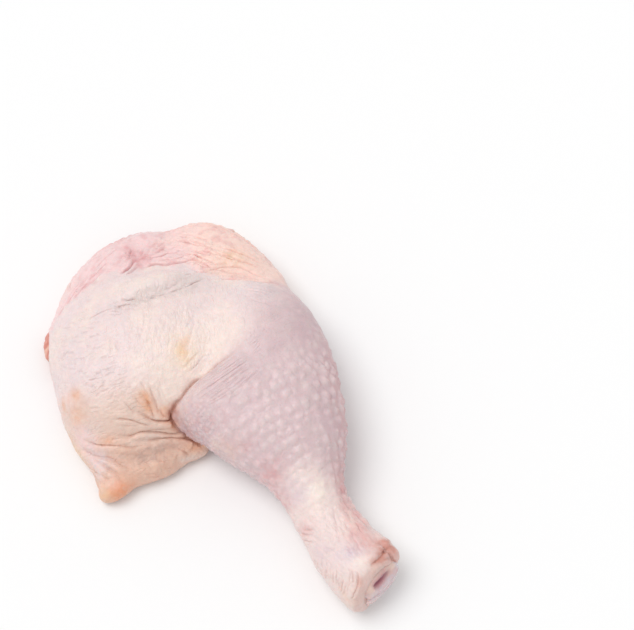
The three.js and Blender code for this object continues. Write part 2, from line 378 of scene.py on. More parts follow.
creases = [
    # the fold between thigh and drumstick
    fold(1.4, 1.15, 0.75, calfCrease, lips=(0.3, 0.7), ends=(0.05, 0.45)),
    # tucks that run out from behind the knee
    fold(1.2, 0.9, 0.7, [(194, 441), (184, 439), (176, 438), (168, 437.5), (160, 438.5), (152, 440),
        (142, 441), (130, 441)], lips=(1.0, 0.2), ends=(0.02, 0.7)),
    fold(0.85, 0.75, 0.5, [(186, 433.5), (176, 433.5), (160, 432.5), (150, 432), (141, 432.5), (136, 434),
        (131, 436), (120, 435.5), (106, 434)], lips=(0.9, 0.2), ends=(0.05, 0.5)),
    fold(1.0, 0.8, 0.65, [(172, 420.5), (165, 421), (158, 421), (151, 419.5), (146, 416.5), (141, 413.5),
        (133, 410)], lips=(0.9, 0.2), ends=(0.05, 0.5)),
    fold(0.6, 0.65, 0.5, [(154, 427), (145, 424), (140, 423), (134, 421), (128, 419.5), (120, 419),
        (108, 418)]),
    fold(0.7, 0.75, 0.45, [(150, 444.5), (145, 445.5), (139, 447.5), (133, 448), (125, 447), (117, 446),
        (108, 445.5), (100, 445), (92, 443), (85, 440), (78, 436)], lips=(0.9, 0.2)),
    fold(0.8, 1.0, 0.25, [(140, 470), (131, 467.5), (124, 465), (118, 462.5), (112, 459.5), (106, 458),
        (99, 457.5), (92, 455.5), (86, 452), (78, 448), (70, 442)], "pleat", lips=(1.0, 0.3),
        ends=(0.35, 0.2)),
    fold(0.7, 0.9, 0.25, [(125, 480), (121, 477), (116, 473), (110, 469), (104, 465), (98, 461),
        (88, 455)], "pleat", lips=(1.0, 0.3)),
    fold(0.6, 0.8, 0.25, [(114, 484), (109, 480.5), (104, 477), (98, 474), (88, 467)], "pleat",
        lips=(0.9, 0.3), ends=(0.4, 0.2)),
    fold(0.4, 0.7, 0.3, [(108, 486), (102, 483), (97, 480), (90, 474)], "pleat", lips=(0.6, 0.2),
        ends=(0.4, 0.2)),
    fold(0.5, 0.65, 0.45, [(192, 455), (186, 452.5), (181, 449.5), (175, 447.5), (168, 447)],
        lips=(0.7, 0.3)),
    fold(0.4, 1.0, 0.3, [(170, 459), (160, 461.5), (150, 461)], ends=(0.5, 0.5)),
    fold(0.3, 0.8, 0.25, [(200, 462), (186, 470), (172, 476), (158, 481)], "rust", lips=(0.5, 0.2)),
    # short tucks above the corner behind the knee
    fold(0.9, 0.9, 0.8, [(170, 419), (169, 413), (168, 407)], lips=(0.5, 0.5), ends=(0.1, 0.6)),
    fold(0.5, 0.7, 0.5, [(164, 417), (161, 412), (160, 406)], ends=(0.1, 0.6)),
    fold(0.45, 0.6, 0.4, [(159, 418), (157, 406), (152, 394), (147, 380)]),
    fold(0.5, 0.6, 0.45, [(156, 420), (153, 414), (149, 405), (143, 396)]),
    fold(0.3, 0.6, 0.2, [(135, 413), (129, 407), (122, 399)]),
    # the wrinkled skin behind the roll
    fold(1.0, 0.65, 0.85, [(119, 274), (126, 271), (130, 268), (133, 263.5), (136, 259)], "bruise"),
    fold(0.4, 0.5, 0.4, [(124, 276), (130, 273), (136, 269), (141, 265.5)], "bruise"),
    fold(0.8, 0.6, 0.65, [(143, 268), (152, 265.5), (158, 264.5), (166, 265), (174, 263.5), (182, 262.5),
        (190, 261), (198, 259), (208, 256)], "bruise", ends=(0.15, 0.5)),
    fold(0.45, 0.55, 0.35, [(187, 267), (192, 269), (197, 271.5), (204, 272.5), (210, 271), (216, 269),
        (224, 267.5), (234, 267), (244, 269), (252, 273), (258, 276), (266, 279), (276, 282)], "bruise",
        ends=(0.15, 0.4)),
    fold(0.3, 0.5, 0.25, [(208, 271), (216, 270.5), (224, 271.5), (232, 273.5), (242, 274), (254, 276)],
        "bruise"),
    fold(0.4, 0.6, 0.35, [(206, 281), (212, 279.5), (222, 279), (232, 279.5), (242, 280), (252, 280.5),
        (262, 282.5), (274, 284), (282, 287), (290, 294)], "dusk"),
    fold(0.75, 0.5, 0.6, [(146, 262), (152, 258), (160, 257), (168, 254), (176, 253), (187, 247.5)],
        "bruise"),
    fold(0.65, 0.5, 0.55, [(156, 262), (165, 259.5), (174, 260), (184, 257), (194, 256.5), (204, 252.5)],
        "bruise"),
    fold(0.75, 0.5, 0.6, [(145, 256), (150, 251.5), (157, 250), (163, 245.5), (171, 244.5), (181, 238)],
        "bruise"),
    fold(0.5, 0.45, 0.45, [(151, 254.5), (158, 253), (166, 249), (174, 248.5), (184, 243)], "bruise"),
    fold(0.6, 0.5, 0.45, [(150, 247.5), (156, 243), (163, 240), (170, 236.5), (178, 235)], "bruise"),
    fold(0.45, 0.6, 0.45, [(127, 263), (129, 258), (131, 253), (132.5, 247)], "bruise"),
    fold(0.5, 0.6, 0.7, [(141, 236), (142, 240), (143, 244)], "bruise"),
    # below the roll
    fold(0.5, 0.5, 0.4, [(119, 302), (124, 300), (129, 301), (134, 299), (139, 300.5)], "dusk"),
    fold(0.5, 0.5, 0.35, [(137, 302), (142, 300), (147, 301), (152, 298), (157, 298.5), (162, 295.5),
        (168, 294.5)], "dusk"),
    fold(0.45, 0.5, 0.3, [(169, 295), (174, 291.5), (179, 291), (184, 286.5), (190, 285.5), (196, 282),
        (203, 281.5), (208, 280)], "dusk"),
    fold(0.3, 0.4, 0.45, [(86, 320), (94, 316), (102, 312), (110, 309), (117, 310)]),
    # across the front of the ankle
    fold(0.35, 0.55, 0.4, [(314, 529), (308, 530.5), (302, 528)], "rust", ends=(0.5, 0.1)),
    fold(0.35, 0.55, 0.4, [(313, 534.5), (307, 535), (301, 533)], "rust", ends=(0.5, 0.1)),
    fold(0.3, 0.6, 0.2, [(317, 542), (310, 542), (304, 540)], "rust", ends=(0.5, 0.1)),
    # the bunched skin beside the cut
    fold(0.8, 1.0, 0.75, [(368, 568), (374, 563), (380, 557), (385, 550.5)], "rust", lips=(0.7, 0.7),
        ends=(0.4, 0.05)),
    fold(0.7, 1.0, 0.75, [(385, 550.5), (389, 556), (393, 561), (395, 566)], "rust", lips=(0.7, 0.7),
        ends=(0.05, 0.3)),
    fold(0.5, 0.9, 0.6, [(378, 541), (382, 546), (385, 550.5)], "rust", lips=(0.6, 0.6), ends=(0.5, 0.1)),
    fold(0.6, 0.8, 0.7, [(394, 546), (389, 548.5), (385, 550.5)], "rust", lips=(0.5, 0.5),
        ends=(0.3, 0.1)),
    fold(0.4, 0.7, 0.5, [(382, 561), (386, 559), (390, 560)], "rust", lips=(0.4, 0.4)),
]

# many fine lines between two guide lines: how many, how long (as shares), how far each strays (in gaps
# between lines), depth, width, painted shade and its tone, and the guide lines; then how strong, where that
# differs
fans = [
    (17, (0.15, 0.4), 0.6, 0.55, 0.5, 0.3, "bruise",  # pink wrinkles
     [(141, 243), (150, 238), (164, 234), (185, 234), (210, 240), (240, 250), (270, 268)],
     [(146, 266), (158, 262), (172, 261), (190, 263), (212, 271), (240, 277), (268, 282)]),
    (8, (0.25, 0.5), 0.5, 0.3, 0.45, 0.22, "bruise",  # round the dimple
     [(119, 270), (125, 258), (129, 246), (135, 236)],
     [(148, 263), (154, 252), (162, 243), (174, 235)]),
    (7, (0.15, 0.45), 0.4, 0.3, 0.5, 0.4, "bruise",  # pink edge
     [(56, 322), (66, 302), (80, 282), (98, 262), (120, 243)],
     [(66, 312), (78, 297), (92, 284), (106, 273), (121, 266)]),
    (14, (0.08, 0.28), 0.9, 0.32, 0.42, 0.32, "dusk",  # under the roll
     [(116, 300), (134, 299), (152, 296), (172, 290), (192, 283), (206, 277)],
     [(108, 311), (128, 307), (146, 304), (164, 299), (182, 292), (200, 284)]),
    (7, (0.25, 0.6), 1.0, 0.32, 0.42, 0.36, "dusk",  # crinkles
     [(106, 302), (118, 302), (132, 303)], [(108, 315), (122, 314), (138, 310)]),
    (7, (0.3, 0.7), 0.4, 0.22, 0.45, 0.25, "dusk",  # on the roll
     [(158, 280), (180, 274), (204, 271)], [(164, 294), (186, 286), (210, 279)]),
    (15, (0.6, 1), 0.15, 0.3, 0.36, 0.3, "dusk",  # beside the calf crease
     [(186, 396), (198, 384), (212, 373), (228, 360), (243, 348)],
     [(204, 410), (220, 402), (238, 390), (253, 377), (266, 364)], (0.8, 1.1)),
    (5, (0.2, 0.5), 0.4, 0.2, 0.5, 0.15, "dusk",  # above the crease
     [(186, 386), (200, 371), (215, 358), (232, 343)],
     [(180, 372), (192, 356), (206, 343), (224, 328)]),
    (8, (0.4, 0.8), 0.12, 0.24, 0.6, 0.14, "crease",  # behind the knee
     [(172, 408), (166, 395), (161, 380), (158, 362)],
     [(148, 416), (138, 406), (127, 396), (114, 388)]),
    (6, (0.4, 0.8), 0.15, 0.3, 0.7, 0.12, "pleat",  # flap pleats
     [(74, 440), (90, 448), (104, 451), (120, 453)], [(93, 474), (100, 478), (108, 483), (117, 487)]),
    (12, (0.25, 0.6), 0.6, 0.3, 0.6, 0.25, "rust",  # flap hollow
     [(192, 446), (172, 444), (154, 447), (138, 452)],
     [(204, 458), (186, 468), (164, 476), (140, 480)]),
    (8, (0.3, 0.6), 0.5, 0.25, 0.5, 0.25, "crease",  # between the tucks
     [(184, 432), (164, 423), (140, 424), (112, 424)],
     [(190, 446), (164, 446), (136, 449), (96, 449)]),
    (17, (0.3, 0.8), 0.5, 0.16, 0.6, 0.08, "dusk",  # down from the roll
     [(108, 310), (104, 335), (106, 362)], [(198, 292), (196, 322), (188, 356)]),
    (6, (0.2, 0.6), 0.4, 0.22, 0.5, 0.16, "dusk",  # over the knee
     [(236, 284), (262, 287), (288, 297)], [(228, 300), (252, 302), (276, 310)]),
    (9, (0.15, 0.45), 0.6, 0.25, 0.6, 0.3, "bruise",  # down the ankle
     [(330, 496), (332, 518), (338, 542), (346, 560)],
     [(345, 500), (354, 520), (366, 538), (376, 552)]),
    (20, (0.3, 0.8), 0.5, 0.32, 0.42, 0.26, "rust",  # heel
     [(311, 552), (318, 570), (333, 594)], [(357, 566), (359, 584), (353, 604)]),
    (9, (0.15, 0.4), 0.7, 0.16, 0.5, 0.12, "dusk",  # across the shin
     [(298, 524), (316, 530), (334, 534)], [(312, 556), (330, 560), (350, 562)]),
    (16, (0.15, 0.4), 0.8, 0.6, 0.7, 0.35, "bruise",  # round the back
     [(-46, 84, 22), (-20, 97, 21), (5, 99, 22), (30, 88, 22), (48, 70, 20)],
     [(-50, 88, 5), (-20, 103, 4), (8, 103, 4), (36, 93, 4), (54, 72, 4)]),
    (28, (0.1, 0.25), 0.5, 0.26, 0.5, 0.16, "dusk",  # dashes
     [(58, 326), (78, 322), (104, 318)], [(60, 384), (86, 384), (118, 376)]),
    (14, (0.1, 0.25), 0.4, 0.24, 0.5, 0.12, "dusk",  # lower dashes
     [(84, 372), (104, 368), (128, 360)], [(88, 414), (104, 410), (118, 404)]),
    (9, (0.2, 0.5), 0.6, 0.4, 0.6, 0.25, "dusk",  # hip side
     [(-62, 60, 18), (-66, 40, 15), (-63, 20, 14), (-58, 0, 10)],
     [(-60, 64, 5), (-65, 40, 4), (-64, 20, 4), (-60, -2, 4)]),
    (8, (0.3, 0.8), 0.5, 0.3, 0.6, 0.25, "bruise",  # far side of the ankle
     [(46, -52, 22), (54, -66, 24), (62, -80, 25)], [(47, -52, 6), (57, -66, 5), (66, -80, 5)]),
]

# wrinkles that run down the back, between posts that stand round it
backPosts = [(-52, 80), (-34, 93), (-14, 100), (8, 101), (28, 93), (44, 80), (57, 62)]
for one, other in zip(backPosts, backPosts[1:]):
    first, last = ([(*post, height) for height in (21, 12, 4)] for post in (one, other))
    fans.append((5, (0.3, 0.8), 0.8, 0.45, 0.6, 0.25, "bruise", first, last))

# broad swellings and hollows: where, how far out, how large
swellings = [
    ((160, 455), -1.3, (13, 6, 8)),  # hollow of the flap
    ((106, 492), 1.2, (5, 4, 6)),  # fat at its tip
    ((121, 490), 0.8, (5, 4, 5)),
    ((92, 478), -2.2, (4.5, 6, 9)),
    ((94, 488), -2.0, (4, 4, 8)),
    ((385, 543), 1.9, (3.2, 3.2, 4)),  # bunched skin
    ((375, 554), 1.2, (3, 2.6, 3)),
    ((394, 554), 1.9, (2.8, 2.8, 3)),
    ((365, 521), 0.9, (2.2, 2.4, 4)),  # the uneven edge above it
    ((371, 529), -0.7, (2, 2.2, 3)),
    ((378, 535), 0.8, (2.2, 2.4, 3)),
    ((-66, 28, 12), -1.6, (9, 20, 14)),  # hip side
    ((-65, 41, 11), -0.9, (6, 7, 7)),
    ((138, 259), -1.0, (3.5, 4, 5)),  # dimple
    ((130, 262), 0.7, (4, 4, 5)),
    ((150, 240), 2.6, (11, 8, 9)),  # between the back lobes
    ((140, 287), 1.1, (9, 4, 6)),  # the roll and the dip below it
    ((168, 280), 1.2, (8, 4, 6)),
    ((150, 303), -0.6, (11, 3, 6)),
    ((186, 291), -0.6, (8, 3, 6)),
    ((280, 280), 1.8, (8, 8, 9)),
    ((313, 490), 0.6, (6, 7, 8)),  # head of the tendon
    ((343, 480), -1.5, (7, 13, 12)),
    ((58, -98, 7), -1.5, (10, 6, 7)),
]


def hockNormal():
    return direction(hock["yaw"], hock["lift"])


def plug(name, planes):  # a node's copy, cut back behind each plane and swollen, to fill its seat
    work = meshOf(name)
    for place, normal in planes:
        everything = work.verts[:] + work.edges[:] + work.faces[:]
        cut = bmesh.ops.bisect_plane(
            work, geom=everything, plane_co=Vector(place) * mm, plane_no=normal, clear_outer=True
        )
        rim = [e for e in cut["geom_cut"] if isinstance(e, bmesh.types.BMEdge)]
        bmesh.ops.holes_fill(work, edges=rim, sides=0)
    bmesh.ops.recalc_face_normals(work, faces=work.faces)
    work.normal_update()
    for v in work.verts:
        v.co += v.normal * skin["plugGrowth"] * mm
    return work


def makeSkin():
    out = hockNormal()
    grown = skin["plugGrowth"]
    bonePlug = plug("shank_bone", [(Vector(hock["centre"]) - out * (skin["boneSeat"] + grown), out)])
    meatPlanes = [
        ((0, 0, skin["meatSeat"] + grown), Vector((0, 0, -1))),
        ((skin["meatSide"] + grown, 0, 0), Vector((-1, 0, 0))),
    ]
    piece = joined("leg_skin", [meshOf("leg"), bonePlug, plug("thigh_meat", meatPlanes)])
    remesh(piece, skin["voxel"], skin["smoothing"])
    thinUnderside(piece, skin["underside"], skin["undersideShare"])
    print("skin:", len(piece.data.polygons), "faces")
    return piece


def along(curve, share):
    return curve[min(len(curve) - 1, int(share * (len(curve) - 1)))]


def fanLines(tree, seed, count, reach, waver, deep, wide, dark, tone, first, last, strength=(0.5, 1.25)):
    rng = random.Random(seed)
    first, last = lineOnSkin(tree, first), lineOnSkin(tree, last)
    steps, made = 8, []
    for i in range(count):
        row = (i + 0.5 + rng.uniform(-0.35, 0.35)) / count
        length = rng.uniform(*reach)
        start = rng.uniform(0, 1 - length)
        lean = rng.uniform(-0.5, 0.5) / count
        spots = []
        for step in range(steps):
            share = start + length * step / (steps - 1)
            stray = rng.uniform(-1, 1) * waver * 0.5 / count
            across = row + lean * (share - start) / length + stray
            spots.append(along(first, share).lerp(along(last, share), across))
        line = [tree.find_nearest(q)[0] for q in curveThrough(spots)]
        drawn = rng.uniform(*strength)
        made.append(fold(deep * drawn, wide, dark * drawn, line, tone, ends=(0.25, 0.25)))
    return made


def creasePaths(tree):
    made = [dict(crease, path=lineOnSkin(tree, crease["path"])) for crease in creases]
    for seed, fan in enumerate(fans):
        made += fanLines(tree, seed, *fan)
    return [crease for crease in made if len(crease["path"]) > 2]


# in crease widths, but pinch is a share: how far the skin is drawn in over the crease
carving = {"pinch": 0.45, "pinchWidth": 2, "lipGap": 2.4, "lipWidth": 1.7, "shadeWidth": 0.8}


def carve(points, normals, paths):
    # sinks each crease, draws the skin in over it, and notes the painted shade along it and in which tone
    moved = points.copy()
    dark = {}
    for crease in paths:
        ids, off, gap, along = nearLine(points, normals, crease["path"], 8 * crease["wide"] + 1)
        start, end = crease["ends"]
        fade = smooth(0, start, along) * (1 - smooth(1 - end, 1, along))
        wide, lips = crease["wide"], crease["lips"]
        lipGap, lipWidth = carving["lipGap"] * wide, carving["lipWidth"] * wide
        pinch = carving["pinch"] * bell(gap / (carving["pinchWidth"] * wide)) * fade
        left, right = bell((gap - lipGap) / lipWidth), bell((gap + lipGap) / lipWidth)
        rise = (lips[0] * left + lips[1] * right - crease["deep"] * bell(gap / wide)) * fade
        moved[ids] += normals[ids] * rise[:, None] - off * pinch[:, None]
        shade = dark.setdefault(crease["tone"], np.zeros(len(points)))
        inked = bell(gap / (carving["shadeWidth"] * wide)) * fade * crease["dark"]
        shade[ids] = np.maximum(shade[ids], inked)
    return moved, dark


bumps = {
    # the drumstick's own axis, and the goose bumps in rows round it
    "axis": [(40, 52, 20), (34, 22, 21), (27, 2, 23), (30, -17, 22), (38, -46, 17), (44, -70, 14.5),
             (51, -92, 14.7)],
    "alongStep": 4.1,
    "roundStep": 4.4,
    "rowShift": 0.37,
    "jitter": 1.0,
    "radius": 1.85,
    "height": 0.82,
    "seed": 4,
    "reach": 60,  # rays come in to the axis from this far out
    "farthest": 45,
    "crooked": 0.9,  # how far their outlines stray from round
    # tighter ones on the flank beside the flap
    "flankStep": 2.6,
    "flankRadius": 0.95,
    "flankHeight": 0.75,
    # finer follicles over the thigh
    "thighStep": 3.0,
    "thighRadius": 0.9,
    "thighHeight": 0.16,
}

drumEdge = [  # in plan, from the flap round the calf crease and over the knee
    (-16, -60), (-10, -24), (-8.5, -17), (-8.3, -12), (-9.5, -8), (-12.5, -3.4), (-14.6, -0.3),
    (-12.8, 2.2), (-9.8, 4.3), (-4.8, 7.2), (0.4, 9.3), (6.4, 10.9), (10.4, 14), (17.4, 15.5),
    (24.4, 17.8), (30, 26), (37, 38), (48, 48), (75, 55),
]
tuckedUnder = 7  # how far the flap reaches in below the drumstick's flank
tendon = {"at": (36.7, -53, 27), "size": (12, 10, 16)}  # few bumps there
relief = {  # how high the uneven relief of the skin is
    "lumps": 0.3,
    "grain": 0.14,
    "drumStreaks": 0.12,
    "ankleStreaks": 0.22,
}


def bumpCentres(tree):
    rng = random.Random(bumps["seed"])
    axis = curveThrough(bumps["axis"], bumps["alongStep"])
    centres = []
    for i, (here, ahead) in enumerate(zip(axis, axis[1:])):
        forward = (ahead - here).normalized()
        sideways = forward.cross(Vector((0, 0, 1))).normalized()
        upward = sideways.cross(forward)
        hit = tree.ray_cast(here + upward * bumps["reach"], -upward)[0]
        radius = (hit - here).length if hit else 20
        count = max(8, round(2 * math.pi * radius / bumps["roundStep"]))
        for j in range(count):
            angle = 2 * math.pi * (j + bumps["rowShift"] * i + rng.uniform(-0.2, 0.2)) / count
            out = sideways * math.cos(angle) + upward * math.sin(angle)
            start = here + forward * rng.uniform(-bumps["jitter"], bumps["jitter"])
            hit = tree.ray_cast(start + out * bumps["reach"], -out)[0]
            if hit and (hit - start).length < bumps["farthest"]:
                centres.append((hit, rng.uniform(0.55, 1.15)))
    return centres


def scattered(points, step, seed):  # points at least a step apart, in no order
    order = list(range(len(points)))
    random.Random(seed).shuffle(order)
    taken, kept = {}, []
    for i in order:
        cell = tuple((points[i] // step).astype(int))
        if cell in taken:
            continue
        beside = [
            taken.get((cell[0] + a, cell[1] + b, cell[2] + c))
            for a in (-1, 0, 1) for b in (-1, 0, 1) for c in (-1, 0, 1)
        ]
        if all(j is None or np.linalg.norm(points[i] - points[j]) > step * 0.75 for j in beside):
            taken[cell] = i
            kept.append(i)
    return kept


def pimples(points, centres, radius):
    kd = KDTree(len(centres))
    for i, (place, size) in enumerate(centres):
        kd.insert(place, i)
    kd.balance()
    near = [kd.find(p) for p in points]
    gap = np.array([n[2] for n in near])
    size = np.array([centres[n[1]][1] for n in near])
    return bell(gap / (radius * size)) * size


def shapeSkin(piece):
    mesh = piece.data
    tree = treeOf(mesh)
    paths = creasePaths(tree)
    marks = KDTree(sum(len(crease["path"]) for crease in paths))
    for i, spot in enumerate(q for crease in paths for q in crease["path"]):
        marks.insert(spot, i)
    marks.balance()
    refine(mesh, [marks.find(p)[2] < skin["fineReach"] for p in readPoints(mesh)])
    print("skin refined:", len(mesh.polygons), "faces,", len(paths), "creases")

    points, normals = surface(mesh)
    for spot, rise, size in swellings:
        swell = blob(points, onSkin(tree, spot), size) * rise
        points += normals * swell[:, None]
    writePoints(mesh, points)
    points, dark = carve(points, readPoints(mesh, "normal"), paths)
    writePoints(mesh, points)

    normals = readPoints(mesh, "normal")
    x, y, z = points.T
    under = smooth(15, 10, z) * smooth(2, -8, y)
    beyond = sideOf(points - np.outer(under * tuckedUnder, (1, 0, 0)), drumEdge)
    uneven = 8 * smooth(15, 55, x) * noiseAt(points, 11, 31, 2)
    drum = smooth(-0.7, 0.7, (beyond + uneven) / (1 + 14 * smooth(4, 34, x) + 8 * smooth(40, 60, x)))
    stray = np.column_stack([noiseAt(points, 2.2, seed, 1) for seed in (21, 22, 23)])
    crooked = points + bumps["crooked"] * stray
    rows = pimples(crooked, bumpCentres(treeOf(mesh)), bumps["radius"])
    strength = drum * (0.3 + 0.7 * smooth(0, 20, beyond - 0.35 * (y + 20)))
    strength *= 1 - 0.85 * smooth(-56, -72, y)
    strength *= 1 - 0.6 * blob(points, tendon["at"], tendon["size"])
    strength *= (1 - 0.6 * smooth(-5, 25, y)) * (1 - smooth(25, 50, y))
    strength *= 1 + 0.4 * smooth(0.5, 0.9, normals[:, 0])
    flank = drum * smooth(22, 6, beyond) * smooth(4, -12, y) * smooth(-62, -44, y)
    tight = [(Vector(points[i]), 1.0) for i in scattered(points, bumps["flankStep"], 5) if flank[i] > 0.02]
    tight = pimples(crooked, tight, bumps["flankRadius"]) * flank
    fine = [(Vector(points[i]), 1.0) for i in scattered(points, bumps["thighStep"], 8)]
    follicles = pimples(crooked, fine, bumps["thighRadius"]) * (1 - drum)
    print("goose bumps placed")
    lift = rows * strength * bumps["height"] * (1 - 0.6 * flank) + tight * bumps["flankHeight"]
    lift += follicles * bumps["thighHeight"] * smooth(0.3, 3, z)
    lift += noiseAt(points, 8, 3, 2) * relief["lumps"] + noiseAt(points, 2.6, 6, 2) * relief["grain"]
    lift += streaksAt(points, 40, 1.7, 9, 5) * relief["drumStreaks"] * drum
    lift += streaksAt(points, -66, 1.3, 12, 9) * relief["ankleStreaks"] * smooth(-50, -66, y)
    lift *= smooth(0, 1.5, z)  # the underside stays flat
    points += normals * lift[:, None]
    writePoints(mesh, points)
    print("skin shaped:", len(points), "points")
    rows = np.maximum(rows * strength, 1.3 * tight)
    return {
        "dark": dark, "rows": rows, "follicles": follicles, "drum": drum, "beyond": beyond, "flank": flank,
    }


palette = {
    "thigh": (236, 215, 213),
    "cream": (243, 224, 214),
    "cool": (228, 211, 213),
    "peach": (230, 200, 184),
    "flap": (232, 190, 168),
    # painted shade for the hollow of the flap
    "hollowShade": (200, 166, 152),
    "fat": (241, 166, 126),
    "butter": (243, 208, 166),
    "rim": (230, 166, 132),
    "pink": (242, 208, 208),
    "salmon": (252, 217, 205),
    "rose": (222, 160, 162),
    "roll": (234, 219, 215),
    "rollShade": (220, 204, 200),
    "mauve": (222, 197, 199),
    "plum": (206, 177, 182),
    "ash": (213, 194, 193),
    # painted highlight for the tops of the goose bumps
    "bumpHighlight": (240, 220, 220),
    "pale": (250, 234, 224),
    "shin": (236, 215, 210),
    "lilac": (216, 196, 206),
    "hockPink": (234, 184, 178),
    # painted shade along creases; in the bunched skin beside the cut partly its own red-brown
    "rust": (186, 112, 92),
    "bunch": (210, 152, 139),
    # painted shade along the creases and pleats, in four tones; the grey is also used for fine flecks over
    # the thigh
    "crease": (178, 112, 92),
    "pleat": (196, 156, 146),
    "bruise": (196, 132, 136),
    "dusk": (178, 149, 148),
    "ruddy": (214, 158, 158),
    "spot": (233, 172, 134),
    "lean": (216, 134, 126),
    "cutFace": (226, 192, 184),
}

# soft patches of colour on the skin: tone, where, how large, how strong
patches = [
    ("cream", (182, 355), (16, 20, 14), 0.9), ("cream", (165, 395), (9, 9, 12), 0.8),
    ("cream", (205, 340), (12, 10, 10), 0.6), ("cream", (160, 380), (4, 12, 8), 0.5),
    ("cool", (70, 360), (9, 24, 18), 0.5), ("cool", (85, 430), (6, 9, 9), 0.3),
    ("cool", (235, 292), (16, 6, 10), 0.4), ("roll", (140, 284), (16, 5, 10), 0.9),
    # the roll: painted shade below it, and a painted highlight along its top at 136,282 and 160,276
    ("rollShade", (184, 280), (11, 4, 10), 0.75), ("rollShade", (150, 297), (15, 3, 8), 0.75),
    ("rollShade", (192, 289), (9, 2.5, 8), 0.5), ("cream", (136, 282), (12, 3, 7), 0.45),
    ("cream", (160, 276), (8, 2.5, 6), 0.35), ("rose", (139, 259), (4, 4.5, 7), 0.95),
    ("rose", (129, 254), (4, 7, 8), 0.5), ("rose", (88, 284), (9, 3, 6), 0.35),
    ("butter", (183, 352), (4.5, 7, 6), 0.5), ("spot", (184, 343), (2.5, 4, 5), 0.3),
    ("butter", (235, 258), (8, 6, 8), 0.45), ("salmon", (255, 262), (9, 9, 9), 0.6),
    ("spot", (75, 396), (3.5, 3, 5), 0.45), ("spot", (64, 406), (2.5, 3.5, 5), 0.55),
    ("spot", (77, 417), (3.5, 3.5, 5), 0.6), ("spot", (78, 407), (5, 7, 6), 0.3),
    ("spot", (147, 405), (3, 4, 5), 0.8), ("spot", (144, 399), (3, 4, 5), 0.5),
    ("spot", (104, 443), (4.5, 2.5, 5), 0.7), ("spot", (164, 412), (4, 3, 5), 0.5),
    # painted shade in the hollow of the flap, at 155,452, 140,459 and 176,444
    ("spot", (172, 425), (3, 3, 5), 0.6), ("hollowShade", (155, 452), (10, 4, 6), 0.9),
    ("hollowShade", (140, 459), (9, 3.5, 6), 0.15), ("hollowShade", (176, 444), (8, 2, 5), 0.4),
    ("pink", (90, 452), (7, 8, 8), 0.55), ("cool", (100, 464), (7, 8, 8), 0.55),
    # painted shade in the corner of the calf crease, at 175,414 and 170,417
    ("pink", (80, 440), (6, 6, 7), 0.5), ("crease", (175, 414), (2.2, 5, 5), 0.6),
    ("fat", (118, 491), (7, 4.5, 6), 1.3), ("butter", (104, 495), (3, 3, 5), 0.7),
    ("salmon", (111, 484), (4, 3, 5), 0.5), ("fat", (150, 488), (12, 3.5, 6), 0.6),
    ("rim", (186, 466), (13, 4, 6), 0.4), ("rim", (160, 482), (18, 3, 6), 0.7),
    ("cream", (192, 458), (8, 3, 4), 0.7), ("spot", (196, 449), (5, 2.5, 5), 0.4),
    ("cream", (140, 441), (10, 3, 5), 0.4), ("crease", (170, 417), (2.2, 3, 4), 0.7),
    # painted shade in the notch where the flap's folds meet, at 190,440
    ("rust", (190, 440), (3, 1.6, 3), 0.4), ("ruddy", (270, 474), (8, 5, 8), 0.7),
    ("ruddy", (283, 500), (6, 6, 8), 0.45), ("ruddy", (240, 447), (8, 4, 6), 0.3),
    ("cream", (215, 444), (5, 3, 8), 0.35), ("peach", (228, 452), (7, 4, 8), 0.4),
    # head of the tendon: partly its paler skin, partly a painted highlight (313,490 and 300,475), with
    # painted shade beside it at 298,492
    ("pale", (313, 490), (6, 8, 8), 1.0), ("pale", (300, 475), (8, 5, 8), 0.4),
    ("lilac", (298, 492), (5, 6, 7), 0.5), ("lilac", (352, 552), (7, 5, 7), 0.5),
    ("lilac", (322, 552), (6, 7, 7), 0.3), ("ruddy", (341, 486), (3, 7, 9), 0.7),
    ("hockPink", (356, 520), (6, 9, 9), 0.7), ("hockPink", (368, 540), (6, 5, 7), 0.6),
    ("ruddy", (352, 538), (2.5, 4, 4), 0.45), ("rose", (347, 498), (2, 5, 6), 0.4),
    ("rose", (357, 513), (2, 4, 5), 0.35), ("pale", (350, 517), (1.4, 5, 5), 0.6),
    ("pale", (342, 524), (1.6, 6, 5), 0.5), ("ruddy", (362, 524), (2, 5, 5), 0.2),
    ("ruddy", (346, 508), (1.8, 6, 6), 0.4), ("pale", (362, 562), (4, 3, 5), 0.6),
    ("bunch", (387, 547), (5, 4.6, 6), 1.2), ("bunch", (380, 559), (4.5, 3, 4), 1.1),
    ("bunch", (393, 558), (3, 3, 4), 0.8), ("bunch", (362, 588), (2.2, 5, 5), 0.6),
    ("peach", (350, 600), (9, 5, 8), 0.6), ("rose", (303, 532), (5, 3, 6), 0.4),
    ("peach", (376, 572), (5, 3, 4), 0.6),
    # where the picture doesn't reach
    ("butter", (30, 96, 8), (14, 9, 7), 0.6), ("butter", (-28, 98, 6), (12, 8, 5), 0.5),
    ("rose", (6, 101, 12), (9, 8, 6), 0.6), ("rose", (48, 78, 9), (9, 9, 6), 0.5),
    ("cream", (-50, 82, 10), (9, 9, 7), 0.6), ("rose", (-64, 56, 8), (6, 8, 5), 0.5),
    ("butter", (-60, 2, 6), (8, 9, 5), 0.5), ("spot", (56, 66, 5), (8, 9, 4), 0.4),
    ("rose", (-20, 100, 14), (8, 8, 5), 0.4), ("lean", (0, 104, 2), (60, 12, 2.5), 0.6),
    ("lean", (-66, 40, 2), (8, 40, 2.5), 0.5),
]


def washed(colour, tone, mask):
    share = np.clip(mask, 0, 1)[:, None]
    return colour * (1 - share) + linear(tone) * share


def layered(tones, base, layers, count):
    colour = np.tile(linear(tones[base]), (count, 1))
    for name, mask in layers:
        colour = washed(colour, tones[name], mask)
    return colour


def paint(mesh, colour, name="tint"):
    store = mesh.color_attributes.new(name, "FLOAT_COLOR", "POINT")
    if colour.shape[1] == 3:
        colour = np.column_stack([colour, np.ones(len(colour))])
    store.data.foreach_set("color", colour.astype(np.float32).ravel())


